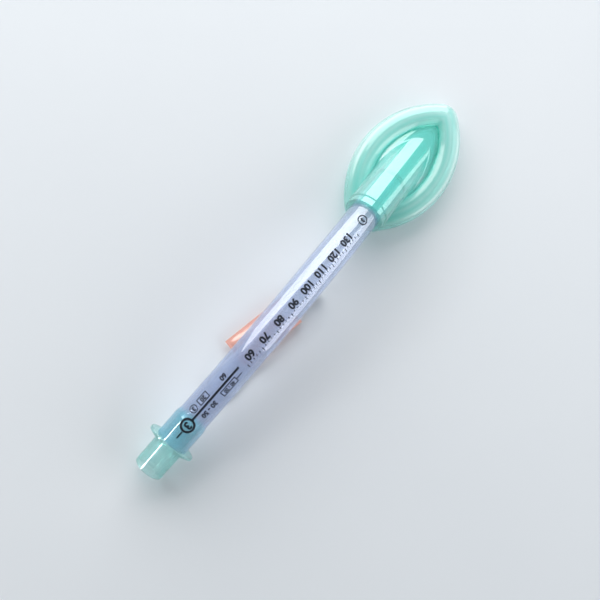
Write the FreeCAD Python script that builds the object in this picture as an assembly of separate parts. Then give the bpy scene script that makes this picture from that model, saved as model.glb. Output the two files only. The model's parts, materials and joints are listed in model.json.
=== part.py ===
"""A size 3 laryngeal mask airway, lying as it comes to rest: cuff and connector rim on one plane.

Millimetres, +X from the connector to the tip of the mask, +Z up. The mask is drawn first, in a frame
whose zero is the near end of the cuff on the resting plane, and everything else follows from it.
At the end the whole set is moved so that the origin is under the middle of the airway.
"""

import FreeCAD
import Part
import math
import os

from FreeCAD import Rotation, Vector

# Cuff
CUFF_LENGTH = 79.0
CUFF_HALF_WIDTH = 24.0
CUFF_HEIGHT = 12.5
CUFF_BAND = 12.2
CUFF_NOSE_RADIUS = 8.0
CUFF_TAIL_RADIUS = 13.0
CUFF_OUTER_ROUND = 5.6
CUFF_INNER_ROUND_TOP = 3.2
CUFF_INNER_ROUND_BASE = 4.4
PORT_HEIGHT = 5.4
PORT_LENGTH = 5.0
PORT_WALL = 1.1
PORT_ROOT = 4.0

# Backplate of the mask
PLATE_CROWN_HEIGHT = 12.0
PLATE_CROSS_RADIUS = 37.0
PLATE_LONG_RADIUS = 200.0
PLATE_WALL = 2.0
SKIRT_BASE = 5.0
SKIRT_WALL = 1.6
OPENING_END_RADIUS = 2.2
NECK_RADIUS = 10.8
NECK_LENGTH = 24.5
NECK_COLLAR_RADIUS = 10.2
NECK_COLLAR_LENGTH = 3.4
NECK_COLLAR_BEVEL = 0.6
NECK_FLAT_HEIGHT = 3.0
STOP_THICKNESS = 2.2
ROOF_WALL = 2.3
NECK_FILLET = 1.0

# Airway tube
TUBE_RADIUS = 7.9
TUBE_WALL = 2.6
TUBE_END_X = 25.0
TUBE_END_HEIGHT = 12.0
MASK_SLOPE = 22.0
ARCH_RADIUS = 166.5
STRAIGHT_AT_CONNECTOR = 20.0
FLARE_LENGTH = 13.2
FLARE_TRANSITION = 2.6
FLARE_STRETCH = 0.65

# Connector
CONE_LENGTH = 16.9
CONE_END_RADIUS = 7.55
CONE_TAPER = 1 / 80
CONE_LIP = 0.5
CONE_BORE_RADIUS = 6.0
CONE_BORE_DEPTH = 13.0
BORE_STEP_LENGTH = 3.0
SPIGOT_BORE_RADIUS = 4.9
SPIGOT_WALL = 1.35
SPIGOT_LENGTH = 12.6
SPIGOT_LEAD = 1.2
FLANGE_THICKNESS = 1.8
FLANGE_HALF_SPAN = 12.55
FLANGE_HALF_HEIGHT = 8.8
FLANGE_TIP_RADIUS = 4.6
FLANGE_ROUND = 0.5

# Inflation line
LINE_RADIUS = 1.0
LINE_BORE_DEPTH = 5.0
LINE_LEAD = 6.0
BOND_GAP = 0.05

# Pilot balloon and its valve
PILOT_X = -70.5
PILOT_Y = -0.2
PILOT_HEIGHT = 3.25
PILOT_TURN = -11.0
BALLOON_LENGTH = 36.0
BALLOON_WIDTH = 16.0
BALLOON_HALF_DEPTH = 2.9
BALLOON_SEAM = 1.5
BALLOON_FILM = 0.6
BALLOON_CORNER = 1.6
BALLOON_NECK_WALL = 0.5
BALLOON_NECK_DEPTH = 6.0

VALVE_RADIUS = 3.2
VALVE_LENGTH = 16.5
VALVE_RIM_RADIUS = 3.2
VALVE_WAIST_RADIUS = 2.9
VALVE_RIM_LENGTH = 2.2
VALVE_TAIL_RADIUS = 2.3
VALVE_TAIL_LENGTH = 5.5
LUER_MOUTH_RADIUS = 2.14
LUER_TAPER = 0.03
LUER_DEPTH = 7.5
SEAT_RADIUS = 1.45
SEAT_THICKNESS = 1.2
CHAMBER_RADIUS = 2.2
CHAMBER_LENGTH = 7.0
VENT_RADIUS = 1.1

STEM_RADIUS = 1.0
STEM_RECESS = 3.2
PLUNGER_REST_GAP = 0.05
PLUNGER_SIDE_GAP = 0.08
PLUNGER_HEAD_THICKNESS = 0.8
PLUNGER_FLAT = 1.75
PLUNGER_PIN_RADIUS = 0.8
PLUNGER_PIN_LENGTH = 3.0
SEAL_THICKNESS = 0.6
SEAL_RADIUS = 1.95
SPRING_WIRE = 0.3
SPRING_TURNS = 5
SPRING_STEPS = 8
SPRING_CLOSED_PITCH = 1.2
SPRING_SIDE_GAP = 0.15
SPRING_END_GAP = 0.05

# Values that follow from those above
TUBE_BORE = TUBE_RADIUS - TUBE_WALL
SPIGOT_RADIUS = SPIGOT_BORE_RADIUS + SPIGOT_WALL
FLARE_BORE = SPIGOT_RADIUS + BOND_GAP
FLARE_RADIUS = TUBE_RADIUS + FLARE_STRETCH
SOCKET_RADIUS = TUBE_RADIUS + BOND_GAP
PORT_BORE = LINE_RADIUS + BOND_GAP
PORT_RADIUS = PORT_BORE + PORT_WALL
SLOPE = math.radians(MASK_SLOPE)
WELL_PAST = 200.0
ARC_SHARE = 0.45

X_AXIS = Vector(1, 0, 0)
Y_AXIS = Vector(0, 1, 0)
Z_AXIS = Vector(0, 0, 1)


def in_side_view(x, z):
    """A point on the plane that the airway is symmetrical about."""
    return Vector(x, 0, z)


def arc_face(points):
    """A face from a closed chain of arcs; each arc is (start, middle, end)."""
    return Part.Face(Part.Wire([Part.Arc(*p).toShape() for p in points]))


def solve(function, low, high):
    """The value between low and high where a function that rises or falls steadily is zero."""
    rising = function(high) > function(low)
    for _ in range(60):
        middle = (low + high) / 2
        if (function(middle) < 0) == rising:
            low = middle
        else:
            high = middle
    return (low + high) / 2


class Lens:
    """The outline of the mask: two long side arcs, and a small arc at the nose and at the tail.

    Every outline in the mask is this one, moved in or out by an even distance.
    """

    def __init__(self):
        nose, tail, half = CUFF_NOSE_RADIUS, CUFF_TAIL_RADIUS, CUFF_HALF_WIDTH
        between = CUFF_LENGTH - nose - tail

        def reach(radius, end):
            return math.sqrt((half - end) * (2 * radius - end - half))

        self.side_radius = solve(
            lambda r: reach(r, nose) + reach(r, tail) - between, half, 40 * half
        )
        self.side_x = tail + reach(self.side_radius, tail)
        self.side_y = self.side_radius - half

    def end_x(self, inset, radius, sign):
        """Where the arc of this radius at one end has its centre."""
        away = self.side_radius - inset - radius
        return self.side_x + sign * math.sqrt(away**2 - self.side_y**2)

    def face(self, inset=0.0, nose=CUFF_NOSE_RADIUS, tail=CUFF_TAIL_RADIUS):
        """The outline moved inwards by inset, as a flat face at height 0."""
        side = self.side_radius - inset
        ends = {}
        for sign, radius in ((1, nose), (-1, tail)):
            centre = self.end_x(inset, radius, sign)
            tilt = math.atan2(self.side_y, sign * (centre - self.side_x))
            ends[sign] = (centre, radius, tilt)

        def on_end(sign, up):
            centre, radius, tilt = ends[sign]
            return Vector(
                centre + sign * radius * math.cos(tilt), up * radius * math.sin(tilt), 0
            )

        def tip(sign):
            return Vector(ends[sign][0] + sign * ends[sign][1], 0, 0)

        def broad(up):
            return Vector(self.side_x, up * (side - self.side_y), 0)

        return arc_face(
            [
                (on_end(1, -1), tip(1), on_end(1, 1)),
                (on_end(1, 1), broad(1), on_end(-1, 1)),
                (on_end(-1, 1), tip(-1), on_end(-1, -1)),
                (on_end(-1, -1), broad(-1), on_end(1, -1)),
            ]
        )

    def prism(self, low, high, inset, nose, tail):
        """The outline as an upright block between two heights."""
        block = self.face(inset, nose, tail).extrude(Vector(0, 0, high - low))
        block.translate(Vector(0, 0, low))
        return block


LENS = Lens()


def crown(inset):
    """A body with the plate's gently crowned top, curved more across than along."""
    cross = PLATE_CROSS_RADIUS - inset
    along = PLATE_LONG_RADIUS - PLATE_CROSS_RADIUS
    ring = Part.makeTorus(
        along,
        cross,
        Vector(LENS.side_x, 0, PLATE_CROWN_HEIGHT - PLATE_LONG_RADIUS),
        Y_AXIS,
    )
    return ring


class TubePath:
    """The middle line of the airway tube: straight in the neck, an arch, and straight on the connector."""

    def __init__(self):
        self.end = in_side_view(TUBE_END_X, TUBE_END_HEIGHT)
        self.into_mask = Vector(math.cos(SLOPE), 0, -math.sin(SLOPE))
        self.neck_mouth = self.end - self.into_mask * NECK_LENGTH
        self.arch_centre = self.neck_mouth - ARCH_RADIUS * Vector(
            math.sin(SLOPE), 0, math.cos(SLOPE)
        )
        self.dip = solve(self.rim_height, 0.02, 1.2)
        self.out = Vector(-math.cos(self.dip), 0, -math.sin(self.dip))
        self.arch_end = self.on_arch(-self.dip)
        self.flange = self.arch_end + self.out * STRAIGHT_AT_CONNECTOR
        self.mouth = self.flange + self.out * (FLANGE_THICKNESS + CONE_LENGTH)

    def on_arch(self, angle):
        """The point of the arch where the line slopes down towards the mask by this angle."""
        return self.arch_centre + ARCH_RADIUS * Vector(
            math.sin(angle), 0, math.cos(angle)
        )

    def rim_height(self, dip):
        """How high the lowest point of the connector's rim is, if the connector dips by this angle."""
        drop = STRAIGHT_AT_CONNECTOR + FLANGE_THICKNESS + CONE_LENGTH
        middle = self.on_arch(-dip).z - drop * math.sin(dip)
        return middle - CONE_END_RADIUS * math.cos(dip)


PATH = TubePath()


def along(start, direction, length, radius):
    """A round bar."""
    return Part.makeCylinder(radius, length, start, direction)


def turned(profile, start, direction):
    """A solid of revolution: profile is (distance along the axis, radius) round a closed outline."""
    points = [Vector(r, 0, z) for z, r in profile]
    face = Part.Face(Part.makePolygon(points + points[:1]))
    solid = face.revolve(Vector(0, 0, 0), Z_AXIS, 360)
    solid.rotate(
        Vector(0, 0, 0),
        Rotation(Z_AXIS, direction).Axis,
        math.degrees(Rotation(Z_AXIS, direction).Angle),
    )
    solid.translate(start)
    return solid


def make_neck_bar():
    """The round bar that the neck is cut from. It sinks into the plate and ends as a rounded nose there."""
    start = PATH.neck_mouth
    collar = along(
        start, PATH.into_mask, NECK_COLLAR_LENGTH + NECK_COLLAR_BEVEL, NECK_COLLAR_RADIUS
    )
    step = NECK_RADIUS - NECK_COLLAR_RADIUS
    bevel = Part.makeCone(
        NECK_COLLAR_RADIUS,
        NECK_RADIUS,
        max(NECK_COLLAR_BEVEL, step),
        start + PATH.into_mask * NECK_COLLAR_LENGTH,
        PATH.into_mask,
    )
    body_start = NECK_COLLAR_LENGTH + max(NECK_COLLAR_BEVEL, step)
    body = along(
        start + PATH.into_mask * body_start,
        PATH.into_mask,
        CUFF_LENGTH,
        NECK_RADIUS,
    )
    bar = collar.fuse([bevel, body]).removeSplitter()
    behind = stop_side(False)
    floor_behind = slab(NECK_FLAT_HEIGHT).common(behind)
    floor_ahead = slab(SKIRT_BASE).common(stop_side(True))
    return bar.common(floor_behind.fuse(floor_ahead))


def slab(base):
    """All the room above a height."""
    size = WELL_PAST
    return Part.makeBox(2 * size, 2 * size, size, Vector(-size, -size, base))


def stop_side(ahead):
    """All the room on one side of the tube's stop: ahead is the side of the bowl."""
    size = WELL_PAST
    room = Part.makeBox(2 * size, 2 * size, size, Vector(-size, -size, 0))
    if not ahead:
        room.translate(Vector(0, 0, -size))
    room.rotate(Vector(0, 0, 0), Y_AXIS, 90 + MASK_SLOPE)
    room.translate(PATH.end + PATH.into_mask * STOP_THICKNESS)
    return room


def make_backplate():
    """The moulding behind the cuff: a crowned plate with a skirt, and the neck that takes the tube."""
    outline = (CUFF_BAND, OPENING_END_RADIUS, OPENING_END_RADIUS)
    plate = LENS.prism(SKIRT_BASE, 2 * CUFF_HEIGHT, *outline).common(crown(0))
    inside = (CUFF_BAND + SKIRT_WALL, OPENING_END_RADIUS, OPENING_END_RADIUS)
    bowl = LENS.prism(-CUFF_HEIGHT, 2 * CUFF_HEIGHT, *inside).common(crown(PLATE_WALL))
    roof = along(PATH.end, PATH.into_mask, CUFF_LENGTH, NECK_RADIUS - ROOF_WALL)
    hollow = bowl.fuse(roof).common(stop_side(True))
    socket = along(PATH.neck_mouth, PATH.into_mask, NECK_LENGTH, SOCKET_RADIUS)
    lumen = along(PATH.end, PATH.into_mask, 2 * STOP_THICKNESS, TUBE_BORE)
    body = plate.fuse(make_neck_bar()).removeSplitter()
    body = body.makeFillet(NECK_FILLET, neck_edges(body))
    return body.cut(hollow).cut(socket).cut(lumen)


def neck_edges(shape):
    """The edges where the neck's round side comes out of the crowned top."""
    found = []
    for edge in shape.Edges:
        sides = [f.Surface for f in shape.Faces if any(edge.isSame(e) for e in f.Edges)]
        round_side = any(
            isinstance(s, Part.Cylinder) and abs(s.Radius - NECK_RADIUS) < 1e-6 for s in sides
        )
        if round_side and any(isinstance(s, Part.Toroid) for s in sides):
            found.append(edge)
    return found


def edges_at(shape, height):
    """The edges that lie flat at a height."""
    flat = []
    for edge in shape.Edges:
        box = edge.BoundBox
        if abs(box.ZMin - height) < 1e-6 and abs(box.ZMax - height) < 1e-6:
            flat.append(edge)
    return flat


def make_cuff():
    """The air ring, with a rounded section, a saddle for the neck and the inflation port."""
    outer = LENS.prism(0, CUFF_HEIGHT, 0, CUFF_NOSE_RADIUS, CUFF_TAIL_RADIUS)
    outer = outer.makeFillet(
        CUFF_OUTER_ROUND, edges_at(outer, 0) + edges_at(outer, CUFF_HEIGHT)
    )
    opening = LENS.prism(
        0, CUFF_HEIGHT, CUFF_BAND, OPENING_END_RADIUS, OPENING_END_RADIUS
    )
    ring = outer.cut(opening)

    def rim(height):
        """The opening's edges at a height, which lie nearer to the middle than the outer ones."""
        reach = CUFF_HALF_WIDTH - CUFF_BAND + 0.01
        return [
            e
            for e in edges_at(ring, height)
            if max(abs(e.BoundBox.YMin), abs(e.BoundBox.YMax)) < reach
            and e.BoundBox.XMin > CUFF_BAND / 2
        ]

    ring = ring.makeFillet(CUFF_INNER_ROUND_TOP, rim(CUFF_HEIGHT))
    ring = ring.makeFillet(CUFF_INNER_ROUND_BASE, rim(0))
    port = along(
        in_side_view(PORT_ROOT, PORT_HEIGHT), -X_AXIS, PORT_ROOT + PORT_LENGTH, PORT_RADIUS
    )
    bore = along(
        in_side_view(-PORT_LENGTH, PORT_HEIGHT), X_AXIS, LINE_BORE_DEPTH, PORT_BORE
    )
    neck = make_neck_bar()
    return ring.fuse(port).removeSplitter().cut(bore).cut(neck)


def make_tube():
    """The airway tube: one bent length, stretched over the connector's spigot at one end."""

    def pipe(radius):
        """The whole tube as a solid bar of one radius, without the flare."""
        lower = along(PATH.neck_mouth, PATH.into_mask, NECK_LENGTH, radius)
        section = Part.Face(
            Part.Wire(Part.Circle(PATH.neck_mouth, PATH.into_mask, radius).toShape())
        )
        arch = section.revolve(
            PATH.arch_centre, -Y_AXIS, math.degrees(SLOPE + PATH.dip)
        )
        upper = along(PATH.arch_end, PATH.out, STRAIGHT_AT_CONNECTOR, radius)
        return lower.fuse([arch, upper])

    def flare(radius, small):
        """The widened end over the spigot, with its short slope back to the tube's own size."""
        return turned(
            [
                (0, 0),
                (0, radius),
                (FLARE_LENGTH, radius),
                (FLARE_LENGTH + FLARE_TRANSITION, small),
                (FLARE_LENGTH + FLARE_TRANSITION, 0),
            ],
            PATH.flange,
            -PATH.out,
        )

    outside = pipe(TUBE_RADIUS).fuse(flare(FLARE_RADIUS, TUBE_RADIUS))
    inside = pipe(TUBE_BORE).fuse(flare(FLARE_BORE, TUBE_BORE))
    return outside.removeSplitter().cut(inside.removeSplitter())


def make_flange():
    """The oval grip: two broad arcs above and below, and a small arc at each ear."""
    span, height, tip = FLANGE_HALF_SPAN, FLANGE_HALF_HEIGHT, FLANGE_TIP_RADIUS
    ear = span - tip
    broad = (ear**2 + height**2 - tip**2) / (2 * (height - tip))
    drop = broad - height
    tilt = math.atan2(drop, ear)
    join = Vector(ear + tip * math.cos(tilt), tip * math.sin(tilt), 0)

    def corner(x, y):
        return Vector(x * join.x, y * join.y, 0)

    face = arc_face(
        [
            (corner(1, -1), Vector(span, 0, 0), corner(1, 1)),
            (corner(1, 1), Vector(0, height, 0), corner(-1, 1)),
            (corner(-1, 1), Vector(-span, 0, 0), corner(-1, -1)),
            (corner(-1, -1), Vector(0, -height, 0), corner(1, -1)),
        ]
    )
    flange = face.extrude(Vector(0, 0, FLANGE_THICKNESS))
    flange = flange.makeFillet(
        FLANGE_ROUND, edges_at(flange, 0) + edges_at(flange, FLANGE_THICKNESS)
    )
    flange.rotate(Vector(0, 0, 0), Z_AXIS, 90)
    flange.rotate(Vector(0, 0, 0), Y_AXIS, -90 - math.degrees(PATH.dip))
    flange.translate(PATH.flange)
    return flange


def make_connector():
    """The conical connector with its oval grip and the spigot that the tube is pushed on."""
    inner = CONE_LENGTH + FLANGE_THICKNESS
    root = CONE_END_RADIUS + CONE_LENGTH * CONE_TAPER
    profile = [
        (0, CONE_BORE_RADIUS),
        (0, CONE_END_RADIUS - CONE_LIP),
        (CONE_LIP, CONE_END_RADIUS + CONE_LIP * CONE_TAPER),
        (CONE_LENGTH, root),
        (inner, root),
        (inner, SPIGOT_RADIUS),
        (inner + SPIGOT_LENGTH - SPIGOT_LEAD, SPIGOT_RADIUS),
        (inner + SPIGOT_LENGTH, SPIGOT_RADIUS - SPIGOT_LEAD / 3),
        (inner + SPIGOT_LENGTH, SPIGOT_BORE_RADIUS),
        (CONE_BORE_DEPTH + BORE_STEP_LENGTH, SPIGOT_BORE_RADIUS),
        (CONE_BORE_DEPTH, CONE_BORE_RADIUS),
    ]
    body = turned(profile, PATH.mouth, -PATH.out)
    hole = along(PATH.mouth, -PATH.out, inner + SPIGOT_LENGTH, root)
    grip = make_flange().cut(hole)
    return body.fuse(grip).removeSplitter()


PILOT = in_side_view(PILOT_X, PILOT_HEIGHT) + Vector(0, PILOT_Y, 0)


def beside_pilot(shape):
    """Moves what was drawn round the X axis, with the balloon's middle at zero, to its place."""
    shape.rotate(Vector(0, 0, 0), Z_AXIS, PILOT_TURN)
    shape.translate(PILOT)
    return shape


def make_balloon():
    """The welded film pouch: a flat seam all round, and the pillow of air between two crowned films."""
    half, broad = BALLOON_LENGTH / 2, BALLOON_WIDTH / 2
    seam = Part.makeBox(
        BALLOON_LENGTH,
        BALLOON_WIDTH,
        BALLOON_FILM,
        Vector(-half, -broad, -BALLOON_FILM / 2),
    )
    upright = [e for e in seam.Edges if abs(e.tangentAt(e.FirstParameter).z) > 0.9]
    seam = seam.makeFillet(BALLOON_CORNER, upright)
    rise = BALLOON_HALF_DEPTH - BALLOON_FILM / 2
    cross_half = broad - BALLOON_SEAM
    long_half = half - BALLOON_SEAM
    cross = (cross_half**2 + rise**2) / (2 * rise)
    along_radius = (long_half**2 + rise**2) / (2 * rise)
    upper = Part.makeTorus(
        along_radius - cross, cross, Vector(0, 0, BALLOON_HALF_DEPTH - along_radius), Y_AXIS
    )
    lower = Part.makeTorus(
        along_radius - cross, cross, Vector(0, 0, along_radius - BALLOON_HALF_DEPTH), Y_AXIS
    )
    pillow = upper.common(lower)
    line_neck = LINE_RADIUS + BOND_GAP + BALLOON_NECK_WALL
    valve_neck = VALVE_TAIL_RADIUS + BOND_GAP + BALLOON_NECK_WALL
    neck_root = BALLOON_NECK_DEPTH
    sleeve_in = along(Vector(-half, 0, 0), X_AXIS, neck_root, line_neck)
    sleeve_out = along(Vector(half, 0, 0), -X_AXIS, neck_root, valve_neck)
    pouch = seam.fuse([pillow, sleeve_in, sleeve_out]).removeSplitter()
    line_hole = along(
        Vector(-half, 0, 0), X_AXIS, LINE_BORE_DEPTH, LINE_RADIUS + BOND_GAP
    )
    valve_hole = along(
        Vector(half, 0, 0), -X_AXIS, VALVE_TAIL_LENGTH, VALVE_TAIL_RADIUS + BOND_GAP
    )
    return beside_pilot(pouch.cut(line_hole).cut(valve_hole))


VALVE_START = BALLOON_LENGTH / 2
VALVE_MOUTH = VALVE_START + VALVE_LENGTH
SEAT_OUTER = VALVE_MOUTH - LUER_DEPTH
SEAT_INNER = SEAT_OUTER - SEAT_THICKNESS
CHAMBER_END = SEAT_INNER - CHAMBER_LENGTH
SEAL_FRONT = SEAT_INNER - PLUNGER_REST_GAP
HEAD_FRONT = SEAL_FRONT - SEAL_THICKNESS
HEAD_BACK = HEAD_FRONT - PLUNGER_HEAD_THICKNESS


def make_valve_housing():
    """The valve's body: tail in the balloon, chamber for the spring, seat, and tapered syringe mouth."""
    neck = LUER_MOUTH_RADIUS - LUER_DEPTH * LUER_TAPER
    tail = VALVE_START - VALVE_TAIL_LENGTH
    profile = [
        (tail, VENT_RADIUS),
        (tail, VALVE_TAIL_RADIUS),
        (VALVE_START, VALVE_TAIL_RADIUS),
        (VALVE_START, VALVE_RADIUS),
        (VALVE_START + VALVE_RIM_LENGTH, VALVE_RADIUS),
        (VALVE_START + 2 * VALVE_RIM_LENGTH, VALVE_WAIST_RADIUS),
        (VALVE_MOUTH - VALVE_RIM_LENGTH, VALVE_WAIST_RADIUS),
        (VALVE_MOUTH - VALVE_RIM_LENGTH, VALVE_RIM_RADIUS),
        (VALVE_MOUTH, VALVE_RIM_RADIUS),
        (VALVE_MOUTH, LUER_MOUTH_RADIUS),
        (SEAT_OUTER, neck),
        (SEAT_OUTER, SEAT_RADIUS),
        (SEAT_INNER, SEAT_RADIUS),
        (SEAT_INNER, CHAMBER_RADIUS),
        (CHAMBER_END, CHAMBER_RADIUS),
        (CHAMBER_END, VENT_RADIUS),
    ]
    return beside_pilot(turned(profile, Vector(0, 0, 0), X_AXIS))


def make_plunger():
    """The moving stem. Three flats on its head let the air past when a syringe pushes it in."""
    head_radius = CHAMBER_RADIUS - PLUNGER_SIDE_GAP
    head = along(
        Vector(HEAD_BACK, 0, 0), X_AXIS, PLUNGER_HEAD_THICKNESS, head_radius
    )
    for turn in (0, 120, 240):
        flat = Part.makeBox(
            PLUNGER_HEAD_THICKNESS,
            2 * CHAMBER_RADIUS,
            CHAMBER_RADIUS,
            Vector(HEAD_BACK, -CHAMBER_RADIUS, PLUNGER_FLAT),
        )
        flat.rotate(Vector(0, 0, 0), X_AXIS, turn)
        head = head.cut(flat)
    stem_end = VALVE_MOUTH - STEM_RECESS
    stem = along(Vector(HEAD_FRONT, 0, 0), X_AXIS, stem_end - HEAD_FRONT, STEM_RADIUS)
    pin = along(
        Vector(HEAD_BACK, 0, 0), -X_AXIS, PLUNGER_PIN_LENGTH, PLUNGER_PIN_RADIUS
    )
    return beside_pilot(head.fuse([stem, pin]).removeSplitter())


def make_seal():
    """The soft washer on the plunger that closes against the seat."""
    outer = along(Vector(HEAD_FRONT, 0, 0), X_AXIS, SEAL_THICKNESS, SEAL_RADIUS)
    inner = along(Vector(HEAD_FRONT, 0, 0), X_AXIS, SEAL_THICKNESS, STEM_RADIUS)
    return beside_pilot(outer.cut(inner))


def bent_bar(points, radius):
    """A round bar along straight runs joined by arcs as large as the runs allow, and the arcs' radii."""
    edges = []
    radii = []
    begin = points[0]
    for before, corner, after in zip(points, points[1:], points[2:]):
        back = (before - corner).normalize()
        ahead = (after - corner).normalize()
        half_turn = (math.pi - back.getAngle(ahead)) / 2
        reach = ARC_SHARE * min((before - corner).Length, (after - corner).Length)
        bend = reach / math.tan(half_turn)
        radii.append(bend)
        first, last = corner + back * reach, corner + ahead * reach
        inward = (back + ahead).normalize()
        middle = corner + inward * (bend / math.cos(half_turn) - bend)
        edges.append(Part.LineSegment(begin, first).toShape())
        edges.append(Part.Arc(first, middle, last).toShape())
        begin = last
    edges.append(Part.LineSegment(begin, points[-1]).toShape())
    path = Part.Wire(edges)
    section = Part.Wire(Part.Circle(points[0], points[1] - points[0], radius).toShape())
    bar = path.makePipeShell([section], True, False)
    return (bar if bar.ShapeType == "Solid" else Part.Solid(bar)), path.Length, radii


def make_spring():
    """The coil that pushes the plunger on its seat. Its first and last turns are closed up."""
    start = CHAMBER_END + SPRING_END_GAP + SPRING_WIRE / 2
    end = HEAD_BACK - SPRING_END_GAP - SPRING_WIRE / 2
    radius = CHAMBER_RADIUS - SPRING_SIDE_GAP - SPRING_WIRE / 2
    corner_radius = radius / (1 - 2 * ARC_SHARE * (1 - math.cos(math.pi / SPRING_STEPS)))
    closed_pitch = SPRING_WIRE * SPRING_CLOSED_PITCH
    open_pitch = (end - start - 2 * closed_pitch) / (SPRING_TURNS - 2)
    points = []
    x = start
    for step in range(SPRING_TURNS * SPRING_STEPS + 1):
        angle = 2 * math.pi * step / SPRING_STEPS
        points.append(
            Vector(x, corner_radius * math.cos(angle), corner_radius * math.sin(angle))
        )
        turn = step // SPRING_STEPS
        pitch = closed_pitch if turn in (0, SPRING_TURNS - 1) else open_pitch
        x += pitch / SPRING_STEPS
    return beside_pilot(bent_bar(points, SPRING_WIRE / 2)[0])


def line_route():
    """The points that the inflation line follows, from the cuff's port to the pilot balloon.

    It drops from the port, runs back under the tube, climbs over the balloon, turns back near the
    connector and enters the balloon's near end.
    """
    port = in_side_view(LINE_BORE_DEPTH - PORT_LENGTH, PORT_HEIGHT)
    into = Rotation(Z_AXIS, PILOT_TURN).multVec(X_AXIS)
    balloon_end = PILOT - into * (BALLOON_LENGTH / 2)
    return [
        port,
        port - X_AXIS * (PORT_LENGTH + LINE_LEAD),
        Vector(-22.5, 1.8, 1.3),
        Vector(-36.0, 4.2, 1.1),
        Vector(-47.0, 3.2, 3.2),
        Vector(-56.5, 0.4, 10.4),
        Vector(-66.5, -4.8, 10.8),
        Vector(-78.5, -8.9, 4.0),
        Vector(-89.0, -8.1, 1.1),
        Vector(-97.5, -8.6, 1.2),
        Vector(-105.8, -8.5, 1.1),
        Vector(-109.9, -4.3, 1.1),
        Vector(-109.7, 1.55, 1.2),
        Vector(-105.3, 5.45, 1.2),
        balloon_end - into * LINE_LEAD,
        balloon_end + into * LINE_BORE_DEPTH,
    ]


def make_line():
    """The inflation line."""
    solid, length, radii = bent_bar(line_route(), LINE_RADIUS)
    print("line length", round(length, 1), "radii", [round(r, 1) for r in radii])
    share = solid.Volume / (math.pi * LINE_RADIUS**2 * length)
    print("line volume against section times length", round(share, 5))
    return solid


PIECES = {
    "connector": make_connector,
    "airway_tube": make_tube,
    "mask_backplate": make_backplate,
    "cuff": make_cuff,
    "inflation_line": make_line,
    "pilot_balloon": make_balloon,
    "valve_housing": make_valve_housing,
    "valve_plunger": make_plunger,
    "valve_seal": make_seal,
    "valve_spring": make_spring,
}
ON_THE_LINE = (
    "inflation_line",
    "pilot_balloon",
    "valve_housing",
    "valve_plunger",
    "valve_seal",
    "valve_spring",
)


def main():
    """Makes every piece, centres the set over the origin and writes one file for each."""
    shapes = {name: make() for name, make in PIECES.items()}
    boxes = [
        s.optimalBoundingBox(False, False)
        for name, s in shapes.items()
        if name not in ON_THE_LINE
    ]
    middle_x = (min(b.XMin for b in boxes) + max(b.XMax for b in boxes)) / 2
    base = min(b.ZMin for b in boxes)
    shift = Vector(-middle_x, 0, -base)
    os.makedirs("parts", exist_ok=True)
    for name, shape in shapes.items():
        shape = shape.Solids[0] if len(shape.Solids) == 1 else shape
        shape.translate(shift)
        shape.exportStep(f"parts/{name}.step")
        print(name, shape.ShapeType, shape.isValid(), round(shape.Volume, 1))
    print("shift", [round(v, 4) for v in shift], "dip", round(math.degrees(PATH.dip), 3))


main()
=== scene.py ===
"""A laryngeal mask airway on a pale table: its finishes, soft parts, print, light and camera.

Every length is in metres unless its name says otherwise. +X runs from the connector to the tip of
the mask, +Z is up, and the cuff and the connector's rim rest on height zero.
"""

from __future__ import annotations

import json
import logging
import math
from collections.abc import Sequence
from dataclasses import dataclass
from enum import Enum

import bmesh
import bpy
from mathutils import Matrix, Vector

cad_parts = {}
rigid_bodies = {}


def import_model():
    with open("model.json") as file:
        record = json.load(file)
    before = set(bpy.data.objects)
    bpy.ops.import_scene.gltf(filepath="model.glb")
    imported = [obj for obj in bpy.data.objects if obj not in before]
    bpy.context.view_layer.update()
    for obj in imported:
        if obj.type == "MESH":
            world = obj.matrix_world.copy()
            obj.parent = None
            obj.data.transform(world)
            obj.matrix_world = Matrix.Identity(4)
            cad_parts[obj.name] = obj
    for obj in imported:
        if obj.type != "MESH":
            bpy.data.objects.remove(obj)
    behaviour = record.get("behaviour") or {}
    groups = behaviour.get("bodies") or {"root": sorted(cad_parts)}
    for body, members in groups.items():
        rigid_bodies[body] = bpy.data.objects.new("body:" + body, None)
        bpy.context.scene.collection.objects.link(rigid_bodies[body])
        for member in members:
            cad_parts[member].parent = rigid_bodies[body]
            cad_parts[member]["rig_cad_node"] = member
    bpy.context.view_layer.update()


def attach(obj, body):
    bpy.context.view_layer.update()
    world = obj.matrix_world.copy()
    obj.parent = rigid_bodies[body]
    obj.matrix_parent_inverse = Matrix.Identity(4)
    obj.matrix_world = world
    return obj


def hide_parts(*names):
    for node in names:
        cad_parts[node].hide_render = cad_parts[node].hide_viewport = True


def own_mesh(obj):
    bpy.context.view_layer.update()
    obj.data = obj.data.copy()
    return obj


LOG = logging.getLogger("airway")
MM = 0.001
WELD = 2e-7
FLAT_WELD = 1e-5
Colour = tuple[float, float, float]


# Shader maths and finishes


class Channel:
    """A shader socket that Python's operators work on."""

    def __init__(self, shader: Shader, socket: bpy.types.NodeSocket) -> None:
        """Wraps a socket of a shader's tree."""
        self.shader = shader
        self.socket = socket

    def _maths(self, operation: str, left: Channel | float, right: Channel | float) -> Channel:
        """One Math node."""
        return self.shader.node("ShaderNodeMath", {"operation": operation}, {0: left, 1: right})

    def __add__(self, other: Channel | float) -> Channel:
        """self + other."""
        return self._maths("ADD", self, other)

    __radd__ = __add__

    def __sub__(self, other: Channel | float) -> Channel:
        """self - other."""
        return self._maths("SUBTRACT", self, other)

    def __rsub__(self, other: float) -> Channel:
        """other - self."""
        return self._maths("SUBTRACT", other, self)

    def __mul__(self, other: Channel | float) -> Channel:
        """self * other."""
        return self._maths("MULTIPLY", self, other)

    __rmul__ = __mul__


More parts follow.
